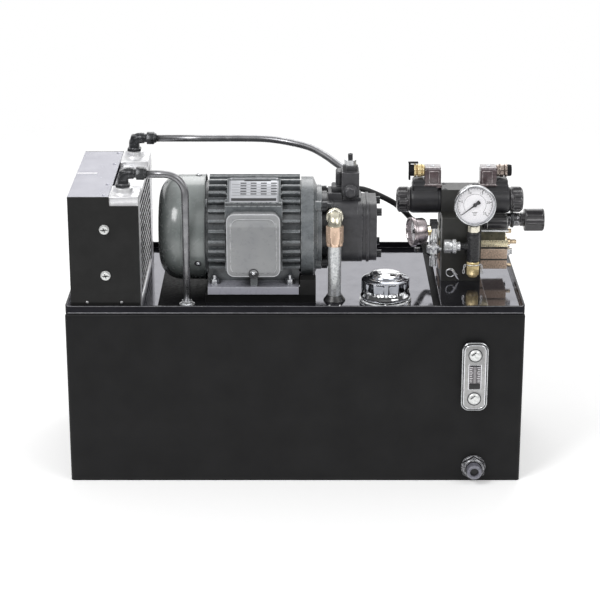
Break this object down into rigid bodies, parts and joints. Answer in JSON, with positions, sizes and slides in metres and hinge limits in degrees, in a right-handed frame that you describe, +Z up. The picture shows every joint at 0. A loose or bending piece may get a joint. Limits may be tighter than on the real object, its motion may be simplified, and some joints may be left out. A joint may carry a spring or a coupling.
{
  "type": "hydraulic power unit",
  "caption": "Hydraulic power unit: oil tank with motor-driven vane pump, air-blast cooler, filler breather, solenoid valve stack and gauges.",
  "frame": {"origin": "centre of the tank's bottom face", "axes": "+X along the tank from the cooler to the valve station, +Y from the front to the back, +Z up"},
  "size_m": [0.8, 0.383, 0.532],
  "materials": {
    "black_paint": "semi-gloss black powder coat",
    "motor_paint": "satin grey-green enamel",
    "pump_iron": "dark grey cast iron, painted",
    "chrome": "polished chrome",
    "zinc": "zinc-plated steel",
    "steel": "ground steel",
    "tube_steel": "phosphated steel tube",
    "black_oxide": "black-oxide steel",
    "brass": "turned brass",
    "aluminium": "brazed aluminium",
    "rubber": "black rubber",
    "black_plastic": "black moulded plastic",
    "plug_plastic": "smoke-tinted plastic",
    "copper": "varnished copper windings",
    "manifold_metal": "copper-tinted plated steel",
    "gold_zinc": "yellow-passivated zinc",
    "clear": "clear pane"
  },
  "bodies": {
    "unit": {"tank_body": "black_paint", "lid_tray": "black_paint", "lid_screws": "steel", "level_gauge_frame": "chrome", "level_gauge_bolts": "chrome", "drain_plug": "black_oxide", "filler_neck": "chrome", "tank_strainers": "steel", "motor_riser": "black_paint", "motor_frame": "motor_paint", "motor_front_shield": "motor_paint", "motor_rear_shield": "motor_paint", "fan_cover": "motor_paint", "stator_core": "copper", "motor_bearings": "steel", "terminal_box": "motor_paint", "terminal_lid": "motor_paint", "foot_bolts": "zinc", "pump_adapter": "black_oxide", "pump_body": "pump_iron", "pump_cover": "pump_iron", "pump_screws": "black_oxide", "pump_control": "pump_iron", "suction_elbow": "zinc", "suction_pipe": "zinc", "pipe_grommet": "rubber", "cooler_tubes": "tube_steel", "tube_elbows": "black_oxide", "pressure_hose": "rubber", "port_fittings": "zinc", "brass_fittings": "brass", "cooler_core": "aluminium", "cooler_shroud": "black_paint", "cooler_plates": "black_paint", "cooler_screws": "zinc", "fan_guard": "black_oxide", "valve_stand": "black_paint", "manifold": "manifold_metal", "throttle_plate": "gold_zinc", "relief_plate": "black_oxide", "valve_body": "black_oxide", "solenoid_coils": "black_plastic", "coil_nuts": "black_plastic", "coil_plugs": "plug_plastic", "gauge_isolator": "black_oxide", "pressure_gauge": "chrome", "side_gauge": "chrome", "sight_windows": "clear"},
    "filler_cap": {"filler_cap": "chrome"},
    "motor_rotor": {"motor_rotor": "steel", "motor_fan": "black_plastic"},
    "pump_rotor": {"pump_rotor": "steel"},
    "cam_ring": {"cam_ring": "steel"},
    "adjust_screw": {"adjust_screw": "black_oxide"},
    "cooler_fan": {"cooler_fan": "black_plastic"},
    "relief_knob": {"relief_knob": "black_plastic"},
    "valve_spool": {"valve_spool": "steel"},
    "isolator_wheel": {"isolator_wheel": "zinc"},
    "gauge_needle": {"gauge_needle": "black_oxide"},
    "side_needle": {"side_needle": "black_oxide"}
  },
  "joints": [
    {"name": "cap_turn", "type": "hinge", "parent": "unit", "child": "filler_cap", "pos_m": [0.149, -0.121, 0.319], "axis": [0, 0, 1], "range_deg": [0, 90]},
    {"name": "motor_spin", "type": "hinge", "parent": "unit", "child": "motor_rotor", "pos_m": [-0.0675, -0.043, 0.404], "axis": [1, 0, 0], "continuous": true},
    {"name": "pump_spin", "type": "hinge", "parent": "unit", "child": "pump_rotor", "pos_m": [0.08, -0.043, 0.404], "axis": [1, 0, 0], "continuous": true},
    {"name": "cam_shift", "type": "slide", "parent": "unit", "child": "cam_ring", "axis": [0, 0, 1], "range_m": [0, 0.0015]},
    {"name": "pressure_set", "type": "hinge", "parent": "unit", "child": "adjust_screw", "pos_m": [0.09155, -0.043, 0.5], "axis": [0, 0, 1], "range_deg": [-360, 360]},
    {"name": "cooler_spin", "type": "hinge", "parent": "unit", "child": "cooler_fan", "pos_m": [-0.326, -0.02, 0.3945], "axis": [1, 0, 0], "continuous": true},
    {"name": "relief_set", "type": "hinge", "parent": "unit", "child": "relief_knob", "pos_m": [0.407, 0.018, 0.3985], "axis": [1, 0, 0], "range_deg": [-720, 720]},
    {"name": "spool_shift", "type": "slide", "parent": "unit", "child": "valve_spool", "axis": [1, 0, 0], "range_m": [-0.003, 0.003], "stiffness_N_per_m": 2000},
    {"name": "isolator_turn", "type": "hinge", "parent": "unit", "child": "isolator_wheel", "pos_m": [0.263, -0.062, 0.375], "axis": [1, 0, 0], "range_deg": [0, 720]},
    {"name": "gauge_read", "type": "hinge", "parent": "unit", "child": "gauge_needle", "pos_m": [0.298, -0.0725, 0.449], "axis": [0, 1, 0], "range_deg": [0, 260], "stiffness_Nm_per_rad": 0.002},
    {"name": "side_read", "type": "hinge", "parent": "unit", "child": "side_needle", "pos_m": [0.2325, -0.039, 0.397], "axis": [0.9613, 0.2756, 0], "range_deg": [0, 260], "stiffness_Nm_per_rad": 0.001}
  ],
  "couplings": [
    {"joint": "pump_spin", "follows": "motor_spin", "ratio": 1}
  ]
}
